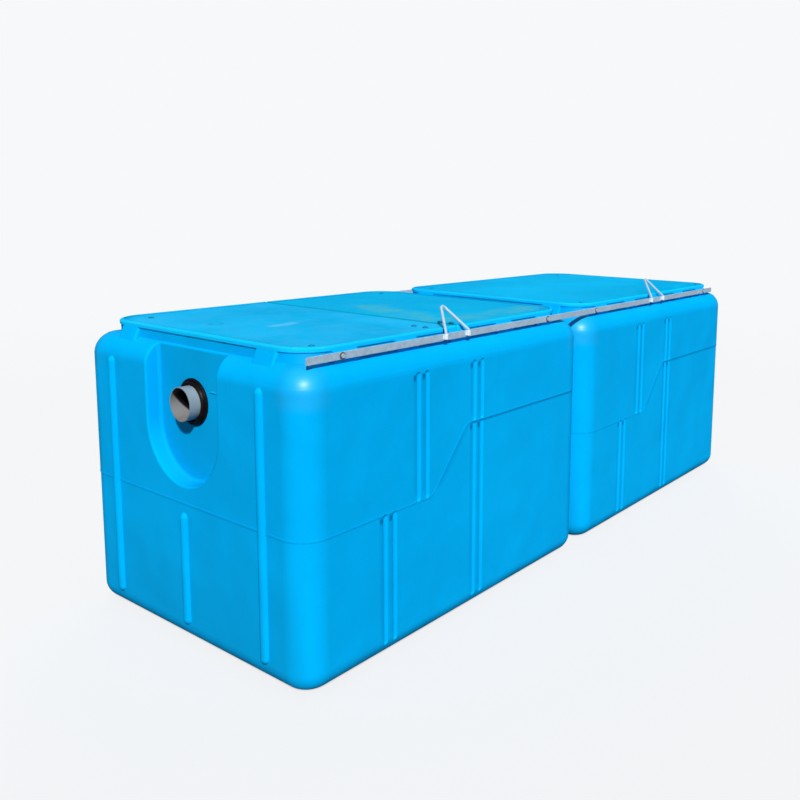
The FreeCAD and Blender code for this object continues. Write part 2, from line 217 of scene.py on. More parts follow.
class SteelFinish(PropertyGroup):
    """Finish of the steel rails, lugs and fasteners."""
    zinc: paint("Zinc colour", "Weathered zinc of the rails", 0.372, 0.498, 0.618)
    dull: paint("Dull zinc", "Darker crystals in the zinc", 0.312, 0.430, 0.540)
    lug: paint("Lug zinc", "Bluish zinc of the lifting lugs", 0.405, 0.545, 0.665)
    lug_dull: paint("Dull lug zinc", "Darker crystals in the lugs' zinc", 0.36, 0.48, 0.58)
    bright: paint("Bright zinc", "Fresh zinc on sleeves and welds", 0.74, 0.82, 0.88)
    clouded: paint("Clouded zinc", "Duller crystals in the fresh zinc", 0.62, 0.71, 0.78)
    aged: paint("Aged zinc", "Dark zinc of the washers", 0.042, 0.056, 0.070)
    stain: paint("Stain colour", "Brown stains in the zinc", 0.16, 0.12, 0.09)
    metal: share("Metal", "How metallic the weathered zinc looks", 0.08)


class FittingSizes(PropertyGroup):
    """Sizes of small fasteners and welds."""
    bolt_from_front: length("Bolt from front", "Front tank's first bolts from its front end", 0.183)
    rear_bolt_from_front: length("Rear bolt from front", "Rear tank's first bolts from its front end", 0.132)
    bolt_from_rear: length("Bolt from rear", "Second bolts from their tank's rear end", 0.213)
    bolt_flats: length("Across flats", "Width of a bolt head", 0.0134)
    bolt_head: length("Head height", "Height of a bolt head", 0.0038)
    washer_radius: length("Washer radius", "Outer radius of a washer", 0.0112)
    washer_thick: length("Washer thickness", "Thickness of a washer", 0.0014)
    panel_drop: length("Panel drop", "How far a cover's panel lies below its rim", 0.003)
    plug_radius: length("Plug radius", "Radius of a plug", 0.0100)
    plug_height: length("Plug height", "Height of a plug", 0.0042)
    plug_from_end: length("Plug from end", "Near side's plugs from the cover's end", 0.082)
    far_plug_from_end: length("Far plug from end", "Far side's plugs from the cover's end", 0.108)
    plug_from_side: length("Plug from side", "Near side's plugs from that side", 0.056)
    plug_from_far_side: length("Plug from far side", "Far side's plugs from that side", 0.106)
    plug_before_seam: length("Plugs before seam", "First cover's pair of plugs from the seam", 0.104)
    plug_after_seam: length("Plugs after seam", "Second cover's pair of plugs from the seam", 0.030)
    plug_pair: length("Plug pair", "Between the plugs of a pair", 0.052)
    seam_plug_height: length("Seam plug height", "Height of the plugs beside the seam", 0.0055)
    weld_radius: length("Weld radius", "Radius of a weld bead", 0.0019)


class StageSetup(PropertyGroup):
    """Camera, floor and lights."""
    floor: paint("Floor colour", "Pale studio floor", 0.90, 0.91, 0.92)
    floor_radius: length("Floor radius", "Radius of the studio floor", 60.0)
    floor_share: share("Floor share", "Share of light that the floor throws back", 0.20)
    floor_glow: share("Floor glow", "Even light of the pale floor", 0.76)
    backdrop: paint("Backdrop colour", "Colour behind the floor", 0.93, 0.94, 0.95)
    fill_colour: paint("Fill colour", "Colour of the even light", 0.95, 0.98, 1.0)
    fill: strength("Fill", "Even light from all round", 0.06)
    key: strength("Key light", "Strength of the main light", 4.7)
    key_elevation: angle("Key elevation", "Height of the main light", radians(38.5))
    key_turn: angle("Key turn", "Turn of the main light to the lug side", radians(48))
    key_width: angle("Key width", "Apparent width of the main light", radians(3))
    back: strength("Back light", "Strength of the light behind", 1.7)
    overhead: strength("Overhead light", "Strength of the soft light above", 0.45)
    camera_place: numbers("Camera place", "Where the camera stands", -2.9656, -2.3509, 1.4313,
                          subtype="TRANSLATION")
    camera_yaw: angle("Yaw", "Turn of the camera from the length of the tanks", 0.6334)
    camera_pitch: angle("Pitch", "Downward tilt of the camera", 0.1342)
    camera_roll: angle("Roll", "Sideways tilt of the camera", -0.0143)
    lens: number("Lens", "Focal length in millimetres", 37.89, subtype="DISTANCE_CAMERA")
    shift: numbers("Shift", "Shift of the frame", -0.1323, -0.1010)


class Graph:
    """Adds nodes to a shader tree and hands back their results."""

    def __init__(self, tree):
        self.tree = tree

    def fill(self, sockets, values):
        """Links results to sockets, or sets plain values on them, by label or in order."""
        pairs = values.items() if isinstance(values, dict) else enumerate(values)
        for label, value in pairs:
            if isinstance(value, NodeSocket):
                self.tree.links.new(value, sockets[label])
            else:
                sockets[label].default_value = value

    def node(self, kind, inputs=(), **settings):
        """The outputs of a new node with its settings, values and links."""
        made = self.tree.nodes.new(kind)
        for key, value in settings.items():
            setattr(made, key, value)
        self.fill(made.inputs, inputs)
        return made.outputs

    def math(self, operation, *values):
        """One step of arithmetic."""
        return self.node("ShaderNodeMath", values, operation=operation)[0]

    def plus(self, *values):
        """The sum of values."""
        return reduce(partial(self.math, "ADD"), values)

    def times(self, *values):
        """The product of values."""
        return reduce(partial(self.math, "MULTIPLY"), values)

    def most(self, *values):
        """The largest of values."""
        return reduce(partial(self.math, "MAXIMUM"), values)

    def minus(self, first, second):
        """The difference of two values."""
        return self.math("SUBTRACT", first, second)

    def magnitude(self, value):
        """A value without its sign."""
        return self.math("ABSOLUTE", value)

    def apart(self, first, second):
        """How far two values lie apart."""
        return self.magnitude(self.minus(first, second))

    def spread(self, value, low, high, out_low=0.0, out_high=1.0):
        """Eases a value from one range to another."""
        values = (value, low, high, out_low, out_high)
        return self.node("ShaderNodeMapRange", values, interpolation_type="SMOOTHSTEP")[0]

    def band(self, value, start, full, end, gone, amount=1.0):
        """Rises from a start to the full amount, and fades from an end until it is gone."""
        return self.times(self.spread(value, start, full), self.spread(value, end, gone, amount, 0.0))

    def blend(self, factor, first, second):
        """Mixes two colours."""
        return self.node("ShaderNodeMix", {0: factor, 6: first, 7: second}, data_type="RGBA")[2]

    def coats(self, colour, *layers):
        """Lays colours over one another, each by its mask."""
        for mask, over in layers:
            colour = self.blend(mask, colour, over)
        return colour

    def clouds(self, where, scale, detail=2.0, rough=0.5, twist=0.0):
        """Soft random clouds, as many to the metre as the scale says."""
        values = {"Vector": where, "Scale": scale, "Detail": detail, "Roughness": rough, "Distortion": twist}
        return self.node("ShaderNodeTexNoise", values)[0]

    def stretched(self, where, scale, turn=(0, 0, 0)):
        """A place, turned and stretched."""
        return self.node("ShaderNodeMapping", {"Vector": where, "Scale": scale, "Rotation": turn})[0]

    def here(self):
        """The point's place in the row, in metres."""
        return self.node("ShaderNodeTexCoord")["Object"]

    def parts(self, vector):
        """The three parts of a vector."""
        return self.node("ShaderNodeSeparateXYZ", [vector])

    def facing(self):
        """The three parts of the surface's direction."""
        return self.parts(self.node("ShaderNodeNewGeometry")["Normal"])

    def vector(self, operation, *values):
        """One step of vector arithmetic: a number for lengths and products, or else a vector."""
        made = self.node("ShaderNodeVectorMath", values, operation=operation)
        return made["Value" if operation in ("LENGTH", "DISTANCE", "DOT_PRODUCT") else "Vector"]

    def relief(self, height, depth):
        """Turns a height into a normal."""
        return self.node("ShaderNodeBump", {"Height": height, "Distance": depth})[0]

    def effect(self, build, **values):
        """The results of a shared effect, which is built the first time it is asked for."""
        name = build.__name__.replace("_", " ").capitalize()
        shared = bpy.data.node_groups.get(name) or build(name)
        return self.node("ShaderNodeGroup", values, node_tree=shared)


def new_group(name, inputs, outputs):
    """An empty effect: its graph, what it is given and where its results go."""
    tree = bpy.data.node_groups.new(name, "ShaderNodeTree")
    for in_out, labels in (("INPUT", inputs), ("OUTPUT", outputs)):
        for label in labels:
            kind = "NodeSocket" + SOCKET_KINDS.get(label, "Float")
            tree.interface.new_socket(label, in_out=in_out, socket_type=kind)
    return Graph(tree), tree.nodes.new("NodeGroupInput").outputs, tree.nodes.new("NodeGroupOutput").inputs


def moulded_skin(name):
    """Cloudy colour, orange peel and slow swells of a moulded wall."""
    g, given, results = new_group(name, ("Colour", "Shade", "Roughness", "Swell"),
                                  ("Colour", "Roughness", "Height"))
    where = g.here()
    broad = g.clouds(where, 2.6, detail=3.0, rough=0.55)
    small = g.clouds(where, 34.0, detail=3.0, rough=0.6)
    mask = g.spread(g.plus(g.times(broad, 0.75), g.times(small, 0.25)), 0.36, 0.66)
    swell = g.times(g.clouds(where, 5.0, detail=1.0, rough=0.4), given["Swell"])
    peel = g.clouds(where, 150.0)
    pits = g.clouds(where, 620.0, detail=1.0)
    g.fill(results, {
        "Colour": g.blend(mask, given["Shade"], given["Colour"]),
        "Roughness": g.plus(given["Roughness"], g.spread(small, 0.3, 0.7, -0.05, 0.06)),
        "Height": g.plus(g.times(peel, 0.085), g.times(pits, 0.022), swell),
    })
    return g.tree


def settled_dust(name):
    """Dust that lies on faces that look up, thinner where it has been rubbed."""
    g, given, results = new_group(name, ("Colour", "Dust", "Amount", "Patches"), ("Colour", "Mask"))
    where = g.here()
    lies = g.spread(g.facing()[2], 0.55, 0.98)
    patch = g.spread(g.clouds(where, given["Patches"], detail=6.0, rough=0.66, twist=0.6), 0.38, 0.66)
    speck = g.spread(g.clouds(where, 190.0, detail=3.0, rough=0.7), 0.5, 0.72, 0.35, 1.0)
    mask = g.times(patch, speck, lies, given["Amount"])
    g.fill(results, {"Colour": g.blend(mask, given["Colour"], given["Dust"]), "Mask": mask})
    return g.tree


def fine_scuffs(name):
    """Thin scratches that cross at several angles, gathered in patches."""
    g, given, results = new_group(name, ("Amount", "Length"), ("Mask",))
    where = g.here()
    lines = []
    for turn, seed in (((0.3, 0.5, 0.35), 0.0), ((1.1, 0.2, -0.9), 7.3), ((0.1, -0.8, 1.9), 3.1)):
        bent = g.stretched(where, (4.5, 210.0, 210.0), turn)
        moved = g.vector("ADD", bent, (seed, seed, seed))
        lines.append(g.spread(g.clouds(moved, given["Length"], detail=1.0, rough=0.4), 0.705, 0.76))
    gate = g.spread(g.clouds(where, 3.2), 0.44, 0.62)
    g.fill(results, {"Mask": g.times(g.most(*lines), gate, given["Amount"])})
    return g.tree


def splashed_runs(name):
    """Splashes low on a wall and faint runs near its top."""
    g, given, results = new_group(name, ("Amount", "Height", "Top"), ("Mask",))
    where = g.here()
    level = g.parts(where)[2]
    low = g.spread(g.math("DIVIDE", level, given["Height"]), 0.0, 1.0, 1.0, 0.0)
    splash = g.spread(g.clouds(where, 26.0, detail=5.0, rough=0.65, twist=0.4), 0.46, 0.68)
    runs = g.clouds(g.stretched(where, (32.0, 32.0, 1.4)), 1.0, detail=3.0, rough=0.6)
    below = g.times(g.spread(g.minus(given["Top"], level), 0.0, 0.28, 0.5, 0.0), g.spread(runs, 0.56, 0.72))
    g.fill(results, {"Mask": g.times(g.most(g.times(low, splash), below), given["Amount"])})
    return g.tree


def line_mark(name):
    """A soft mark along a line between two points of the row."""
    g, given, results = new_group(name, ("Start", "End", "Width", "Softness", "Ragged"), ("Mask",))
    where = g.here()
    run = g.vector("SUBTRACT", given["End"], given["Start"])
    reach = g.vector("SUBTRACT", where, given["Start"])
    along = g.math("DIVIDE", g.vector("DOT_PRODUCT", reach, run), g.vector("DOT_PRODUCT", run, run))
    along = g.math("MINIMUM", g.most(along, 0.0), 1.0)
    nearest = g.node("ShaderNodeVectorMath", {0: run, "Scale": along}, operation="SCALE")[0]
    away = g.vector("LENGTH", g.vector("SUBTRACT", reach, nearest))
    fray = g.minus(g.clouds(where, 28.0, detail=4.0), 0.5)
    away = g.plus(away, g.times(fray, given["Ragged"]))
    edge = g.math("DIVIDE", g.minus(away, given["Width"]), given["Softness"])
    g.fill(results, {"Mask": g.spread(edge, 0.0, 1.0, 1.0, 0.0)})
    return g.tree


def zinc_spangle(name):
    """Crystals and fine cloud of a zinc coat."""
    g, given, results = new_group(name, ("Colour", "Dull", "Crystals"), ("Colour", "Roughness", "Height"))
    where = g.here()
    cell = g.node("ShaderNodeTexVoronoi", {"Vector": where, "Scale": given["Crystals"]})["Color"]
    tone = g.node("ShaderNodeSeparateColor", [cell])[0]
    haze = g.clouds(where, 14.0, detail=4.0, rough=0.6)
    fine = g.clouds(where, 520.0, rough=0.6)
    mask = g.spread(g.plus(g.times(tone, 0.45), g.times(haze, 0.55)), 0.25, 0.75)
    g.fill(results, {
        "Colour": g.blend(mask, given["Dull"], given["Colour"]),
        "Roughness": g.plus(g.spread(tone, 0.0, 1.0, 0.36, 0.52), g.times(fine, 0.08)),
        "Height": g.plus(fine, g.times(tone, 0.35)),
    })
    return g.tree


class Surface(Graph):
    """The graph of a new material with a plain surface shader."""

    def __init__(self, name):
        self.material = bpy.data.materials.new(name)
        self.material.use_nodes = True
        super().__init__(self.material.node_tree)
        self.shader = self.tree.nodes["Principled BSDF"]

    def finished(self, values):
        """Fills the shader's sockets, and gives the material back."""
        self.fill(self.shader.inputs, values)
        return self.material


def dress(nodes, material):
    """Gives a finish to CAD nodes."""
    for name in nodes:
        mesh = frame["nodes"][name].data
        mesh.materials.clear()
        mesh.materials.append(material)


def tank_place(g):
    """Distances from the tank's front end and from the middle plane, and height, alike on both tanks."""
    x, y, z = g.parts(g.here())
    step = tank_middles["rear"] - tank_middles["front"]
    return g.math("MODULO", g.minus(x, inlet.x), step), g.magnitude(y), z


def end_distance(g, along):
    """Distance from the nearer end of the tank."""
    return g.minus(half_tank, g.apart(along, half_tank))


def groove_dirt(g):
    """Painted shade in the grooves' shaded walls, thicker at their heads, and under the raised parting line.
    """
    along, across, level = tank_place(g)
    dirt = []
    for middle, foot, head in GROOVE_PAIRS:
        off = g.apart(g.apart(along, middle - GROOVE_SHADE), GROOVE_PITCH / 2)
        below = g.minus(head, level)
        thick = g.band(below, -0.006, 0.001, 0.008, 0.026, HEAD_SHADE)
        thin = g.times(g.spread(below, 0.0, 0.01), g.spread(level, foot, foot + 0.03, 0.0, WALL_SHADE))
        dirt.append(g.times(g.spread(off, 0.005, 0.014, 1.0, 0.0), g.most(thick, thin)))
    under = g.times(g.band(g.minus(PARTING_HIGH, level), -0.003, 0.001, 0.003, 0.014, LINE_SHADE),
                    g.spread(along, RAMP_END, RAMP_END + 0.03))
    run = Vector((RAMP_END - RAMP_START, PARTING_HIGH - PARTING_LOW)).normalized()
    beside = g.minus(g.times(g.minus(along, RAMP_START), run.y), g.times(g.minus(level, PARTING_LOW), run.x))
    slope = g.times(g.band(beside, -0.004, 0.003, 0.006, 0.034, SLOPE_SHADE),
                    g.band(level, PARTING_LOW + 0.01, PARTING_LOW + 0.04, PARTING_HIGH - 0.03, PARTING_HIGH))
    on_side = g.spread(across, half_width - 0.022, half_width - 0.012)
    return g.times(g.most(*dirt, under, slope), on_side)


def end_film(g):
    """Painted shade in the end pockets and low on the end walls."""
    along, across, level = tank_place(g)
    inside = g.band(end_distance(g, along), 0.004, POCKET_DEPTH - 0.005, POCKET_DEPTH + 0.002,
                    POCKET_DEPTH + 0.006, POCKET_SHADE)
    pocket = g.times(inside, g.spread(across, POCKET_HALF_WIDTH - 0.002, POCKET_HALF_WIDTH + 0.006, 1.0, 0.0),
                     g.spread(level, POCKET_FOOT - 0.02, POCKET_FOOT + 0.02))
    on_end = g.spread(g.magnitude(g.facing()[0]), 0.60, 0.92)
    return g.most(pocket, g.times(on_end, g.spread(level, 0.05, 0.52, FOOT_SHADE, 0.0)))


def corner_gloss(g, amount):
    """Gloss of the upper corners, where the skin is rubbed smooth."""
    along, across, level = tank_place(g)
    inwards = g.most(end_distance(g, along), g.minus(half_width, across))
    return g.times(g.spread(inwards, *GLOSS_REACH, amount, 0.0), g.spread(level, *GLOSS_RISE))


def tank_material(finish):
    """Blue moulded polyethylene with a cloudy skin, glossy corners, scuffs, splashes and painted shade in the
    grooves, the end pockets and low on the end walls.
    """
    g = Surface("tank polyethylene")
    skin = g.effect(moulded_skin, Colour=finish.colour, Shade=finish.shade, Roughness=finish.roughness,
                    Swell=6.0)
    dusty = g.effect(settled_dust, Colour=skin["Colour"], Dust=finish.scuff, Amount=0.22, Patches=7.0)
    scuffs = g.effect(fine_scuffs, Amount=finish.scuffs, Length=1.0)["Mask"]
    grime = g.effect(splashed_runs, Amount=finish.grime_amount, Height=0.20, Top=RUN_HEIGHT)["Mask"]
    return g.finished({
        # The grooves' dark blue and the film in the end pockets and low on the end walls are painted shade;
        # scuffs and splashes are wear and dirt
        "Base Color": g.coats(dusty["Colour"], (scuffs, finish.scuff), (grime, finish.grime),
                              (end_film(g), finish.grime), (groove_dirt(g), finish.groove)),
        "Roughness": g.plus(skin["Roughness"], g.times(g.most(scuffs, grime), 0.25)),
        "Normal": g.relief(skin["Height"], 0.0016),
        "Coat Weight": corner_gloss(g, finish.gloss),
        "Coat Roughness": 0.42, "Specular IOR Level": 0.03, "Specular Tint": finish.glint,
    })


def edge_distance(g):
    """Distance inwards from the rounded outline of the covers, the same on both tanks."""
    low, high = (Vector(corner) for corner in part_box("rear_tank_cover"))
    middle, half = (low + high) / 2, (high - low) / 2
    split = g.parts(g.here())
    along = g.minus(g.apart(g.magnitude(split[0]), middle.x), half.x - COVER_CORNER)
    across = g.minus(g.magnitude(split[1]), half.y - COVER_CORNER)
    outside = g.node("ShaderNodeCombineXYZ", (g.most(along, 0.0), g.most(across, 0.0)))[0]
    inside = g.math("MINIMUM", g.most(along, across), 0.0)
    return g.minus(COVER_CORNER, g.plus(g.vector("LENGTH", outside), inside))


def cover_material(finish):
    """Trodden covers, the first one dusty, with films of dried water, a stain, a few scrapes and a painted
    highlight along their rounded edges.
    """
    g = Surface("cover polyethylene")
    first_end, side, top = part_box("front_tank_inlet_cover")[1]
    seam = (first_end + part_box("front_tank_rear_cover")[0][0]) / 2
    where = g.here()
    along = g.parts(where)[0]
    first = g.spread(along, seam - 0.002, seam + 0.002, 1.0, 0.0)
    clean = g.blend(g.spread(along, -0.002, 0.002), finish.second, finish.rear)
    skin = g.effect(moulded_skin, Colour=g.blend(first, clean, finish.colour), Shade=finish.shade,
                    Roughness=finish.roughness, Swell=5.0)
    dusty = g.effect(settled_dust, Colour=skin["Colour"], Dust=g.blend(first, clean, finish.dust),
                     Amount=finish.dust_amount, Patches=8.0)

    def mark(start, end, width, softness, ragged):
        return g.effect(line_mark, Start=(*start, top), End=(*end, top), Width=width, Softness=softness,
                        Ragged=ragged)["Mask"]

    film = g.most(*(mark(*run, softness=0.085, ragged=0.16) for run in FILM_RUNS))
    speckle = g.spread(g.clouds(where, 60.0, detail=4.0, rough=0.7), 0.34, 0.60, 0.45, 1.0)
    gaps = g.spread(g.clouds(where, 10.0, detail=6.0, rough=0.7, twist=0.5), 0.40, 0.56, 0.2, 1.0)
    stain = mark(*STAIN, softness=0.035, ragged=0.05)
    gathered = mark((seam, -side), (seam, side), 0.007, softness=0.012, ragged=0.008)
    inward = edge_distance(g)
    flat = g.node("ShaderNodeCombineXYZ", g.parts(where)[:2])[0]
    ring = g.apart(g.vector("DISTANCE", flat, (*RING_SPOT, 0)), RING_RADIUS)
    scrape = mark(*SCRAPE, softness=0.024, ragged=0.026)
    scuffs = g.times(g.effect(fine_scuffs, Amount=0.22, Length=0.8)["Mask"], first)
    return g.finished({
        "Base Color": g.coats(
            dusty["Colour"],
            (g.times(stain, 0.8), finish.shade),
            (g.times(film, speckle, gaps), finish.film),
            (g.times(gathered, 0.9), finish.seam),
            (g.band(inward, 0.0125, 0.0145, 0.020, 0.044, 0.45), finish.seam),
            # Painted highlight along the covers' rounded edges
            (g.spread(inward, 0.009, 0.013, 0.85, 0.0), finish.lip),
            (g.spread(ring, 0.004, 0.010, 0.55, 0.0), finish.seam),
            (g.most(g.times(scrape, 0.5), scuffs), finish.scuff)),
        "Roughness": g.plus(skin["Roughness"], g.times(dusty["Mask"], 0.2)),
        "Normal": g.relief(skin["Height"], 0.0014),
        "Specular IOR Level": 0.005, "Specular Tint": finish.glint,
    })


def plug_material(finish):
    """Dark blue plugs, dusty on top."""
    g = Surface("plug plastic")
    skin = g.effect(moulded_skin, Colour=finish.plug, Shade=finish.seam, Roughness=finish.roughness,
                    Swell=0.3)
    dusty = g.effect(settled_dust, Colour=skin["Colour"], Dust=finish.dust, Amount=0.3, Patches=60.0)
    return g.finished({
        "Base Color": dusty["Colour"],
        "Roughness": skin["Roughness"],
        "Normal": g.relief(skin["Height"], 0.0005),
        "Specular IOR Level": 0.13,
    })


def pipe_material(finish):
    """Grey drawn pipe, dirty along its floor, with a painted shadow high up and deep inside."""
    g = Surface("pipe plastic")
    where = g.here()
    x, y, z = g.parts(where)
    rise = g.minus(z, inlet.z)
    from_axis = g.vector("LENGTH", g.node("ShaderNodeCombineXYZ", (0.0, y, rise))[0])
    within = g.spread(from_axis, IN_PIPE_WALL - 0.0002, IN_PIPE_WALL + 0.0002, 1.0, 0.0)
    drawn = g.clouds(g.stretched(where, (1.5, 900.0, 900.0)), 1.0, rough=0.6)
    haze = g.clouds(where, 45.0, detail=4.0, rough=0.6)
    floor = g.spread(rise, -0.046, -0.028, 1.0, 0.0)
    dirt = g.times(within, floor, g.spread(haze, 0.3, 0.6, 0.25, 0.8))
    inwards = g.minus(-inlet.x, g.magnitude(x))
    # Painted shadow: near black where the pipe's inside is high up and deep in
    shadow_mask = g.spread(g.plus(rise, g.times(inwards, 1.2)), 0.029, 0.039)
    scuffs = g.effect(fine_scuffs, Amount=0.4, Length=1.4)["Mask"]
    return g.finished({
        "Base Color": g.coats(
            finish.pipe,
            (g.spread(haze, 0.3, 0.7, 0.0, 0.35), finish.pipe_pale),
            (g.times(within, 0.85), finish.pipe_film),
            (dirt, finish.pipe_dirt),
            (g.times(within, shadow_mask), finish.pipe_soot),
            (g.times(scuffs, g.minus(1.0, within)), finish.pipe_scuff)),
        "Roughness": g.spread(g.plus(haze, dirt), 0.2, 1.4, 0.34, 0.62),
        "Normal": g.relief(g.plus(g.times(drawn, 0.5), g.times(haze, 0.3)), 0.0002),
        "Specular IOR Level": 0.35,
    })


def rubber_material(finish):
    """Black rubber with a faint bloom."""
    g = Surface("seal rubber")
    where = g.here()
    bloom = g.clouds(where, 70.0, detail=4.0, rough=0.65)
    grain = g.clouds(where, 900.0, rough=0.6)
    return g.finished({
        "Base Color": g.blend(g.spread(bloom, 0.45, 0.75, 0.0, 0.6), finish.rubber, finish.bloom),
        "Roughness": g.spread(bloom, 0.3, 0.7, 0.34, 0.5),
        "Normal": g.relief(grain, 0.00012),
        "Specular IOR Level": 0.09,
    })


def zinc_material(name, finish):
    """A zinc coat with crystals, brown specks and bright scuffs, made the first time it is asked for."""
    if name in bpy.data.materials:
        return bpy.data.materials[name]
    g = Surface(name)
    colour, dull, crystals, metal = ZINC_COATS[name]
    coat = g.effect(zinc_spangle, Colour=getattr(finish, colour), Dull=getattr(finish, dull),
                    Crystals=crystals)
    speck = g.spread(g.clouds(g.here(), 75.0, detail=5.0, rough=0.7), 0.68, 0.80, 0.0, 0.25)
    scuffs = g.effect(fine_scuffs, Amount=0.12, Length=1.2)["Mask"]
    return g.finished({
        "Base Color": g.coats(coat["Colour"], (speck, finish.stain), (scuffs, finish.bright)),
        "Roughness": coat["Roughness"],
        "Normal": g.relief(coat["Height"], 0.0002),
        "Metallic": finish.metal * metal,
        "Specular IOR Level": 0.4,
    })


def round_angles(count):
    """Even angles once round."""
    return [2 * pi * i / count for i in range(count)]


def skin_loops(bm, loops, closed=False):
    """Joins loops of points with faces, and caps the ends or closes the run."""
    pairs = list(zip(loops, loops[1:]))
    if closed:
        pairs.append((loops[-1], loops[0]))
    else:
        bm.faces.new(list(reversed(loops[0])))
        bm.faces.new(loops[-1])
    for below, above in pairs:
        for i in range(len(below)):
            j = (i + 1) % len(below)
            bm.faces.new((below[i], below[j], above[j], above[i]))


def turned(bm, rings, matrix, segments):
    """Adds a turned form: rings are (height, radius at an angle) from one end to the other."""
    loops = []
    for height, radius in rings:
        loop = []
        for turn in round_angles(segments):
            r = radius(turn) if callable(radius) else radius
            loop.append(bm.verts.new(matrix @ Vector((r * cos(turn), r * sin(turn), height))))
        loops.append(loop)
    skin_loops(bm, loops)


def tube(bm, points, radius, lumps, segments, closed=False):
    """Adds a round bead along points, with a lumpy radius."""
    lump_scale = 260
    count = len(points)
    loops = []
    for i, point in enumerate(points):
        ahead = points[(i + 1) % count] if closed or i + 1 < count else point
        behind = points[i - 1] if closed or i else point
        run = (ahead - behind).normalized()
        upright = abs(run.z) > 0.9
        side = run.orthogonal().normalized() if upright else run.cross(Vector((0, 0, 1))).normalized()
        other = run.cross(side)
        loop = []
        for turn in round_angles(segments):
            out = side * cos(turn) + other * sin(turn)
            reach = radius * (1 + lumps * noise.noise((point + out * radius) * lump_scale))
            loop.append(bm.verts.new(point + out * reach))
        loops.append(loop)
    skin_loops(bm, loops, closed)


def placed(name, data):
    """Puts an object with its data into the scene."""
    made = bpy.data.objects.new(name, data)
    bpy.context.scene.collection.objects.link(made)
    return made


def finished_mesh(name, bm, material):
    """Ends a mesh in the making, and gives it a material."""
    mesh = bpy.data.meshes.new(name)
    bm.to_mesh(mesh)
    bm.free()
    mesh.materials.append(material)
    return mesh


def finished_piece(name, bm, material, sharp):
    """Makes a riding piece of a mesh in the making, with edges sharp from an angle in degrees."""
    bmesh.ops.recalc_face_normals(bm, faces=bm.faces)
    mesh = finished_mesh(name, bm, material)
    mesh.shade_smooth()
    mesh.set_sharp_from_angle(angle=radians(sharp))
    piece = placed(name, mesh)
    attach(piece, "root")


def hexagon(flats, limit):
    """Radius of a hexagon at an angle, held inside a circle."""
    def radius(at):
        turn = (at + pi / 6) % (pi / 3) - pi / 6
        return min(flats / 2 / cos(turn), limit)
    return radius


class SEPARATOR_OT_tanks(Operator):
    """Finish both moulded tanks"""
    bl_idname = "separator.tanks"
    bl_label = "Tanks"

    def execute(self, context):
        dress(TANK_NODES, tank_material(context.scene.separator_tank))
        return {"FINISHED"}


class SEPARATOR_OT_covers(Operator):
    """Finish the flat covers"""
    bl_idname = "separator.covers"
    bl_label = "Covers"

    def execute(self, context):
        dress(COVER_NODES, cover_material(context.scene.separator_cover))
        return {"FINISHED"}


class SEPARATOR_OT_plumbing(Operator):
    """Finish the pipes and their ring seals"""
    bl_idname = "separator.plumbing"
    bl_label = "Pipes and seals"

    def execute(self, context):
        finish = context.scene.separator_plumbing
        dress(PIPE_NODES, pipe_material(finish))
        dress(SEAL_NODES, rubber_material(finish))
        return {"FINISHED"}


class SEPARATOR_OT_steelwork(Operator):
    """Finish the rails, lifting lugs and sleeves"""
    bl_idname = "separator.steelwork"
    bl_label = "Rails and lugs"

    def execute(self, context):
        finish = context.scene.separator_steel
        dress(RAIL_NODES, zinc_material("weathered zinc", finish))
        dress(LUG_NODES, zinc_material("lug zinc", finish))
        dress(SLEEVE_NODES, zinc_material("bright zinc", finish))
        return {"FINISHED"}


class SEPARATOR_OT_rail_bolts(Operator):
    """Add the hexagon bolts and washers that hold the rails"""
    bl_idname = "separator.rail_bolts"
    bl_label = "Rail bolts"

    def execute(self, context):
        size = context.scene.separator_fitting
        for rail in RAIL_NODES:
            low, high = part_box(rail)
            side = -1 if low[1] < 0 else 1
            face = low[1] if side < 0 else high[1]
            out = Matrix.Rotation(-side * pi / 2, 4, "X")
            number = 0
            for tank, middle in tank_middles.items():
                first = size.bolt_from_front if tank == "front" else size.rear_bolt_from_front
                for x in (middle - half_tank + first, middle + half_tank - size.bolt_from_rear):
                    number += 1
                    foot = Matrix.Translation((x, face, (low[2] + high[2]) / 2))
                    matrix = foot @ out @ Matrix.Rotation(BOLT_TURN * number, 4, "Z")
                    self.add_bolt(rail + "_bolt_" + str(number), matrix, size, context.scene.separator_steel)
        return {"FINISHED"}

    def add_bolt(self, name, matrix, size, steel):
        """A washer and a chamfered hexagon head, facing out from the rail."""
        radius, base = size.washer_radius, size.washer_thick
        bm = bmesh.new()
        turned(bm, [(0, radius), (base * 0.7, radius), (base, radius - base * 0.35), (base, radius * 0.72)],
               matrix, segments=40)
        finished_piece(name + "_washer", bm, zinc_material("aged zinc", steel), sharp=28)
        flats, half = size.bolt_flats, size.bolt_flats / 2
        top = base + size.bolt_head
        chamfer = size.bolt_head * 0.28
        rings = [(base, hexagon(flats, half * 1.07)), (base + 0.0006, hexagon(flats, half * 1.2))]
        for part in (0, 0.2, 0.4, 0.6, 0.8, 1):
            rings.append((top - chamfer * (1 - part), hexagon(flats, half * (1.18 - 0.24 * part))))
        rings += [(top, half * 0.74), (top - 0.0005, half * 0.68), (top - 0.0006, half * 0.1)]
        bm = bmesh.new()
        turned(bm, rings, matrix, segments=72)
        finished_piece(name, bm, zinc_material("weathered zinc", steel), sharp=28)


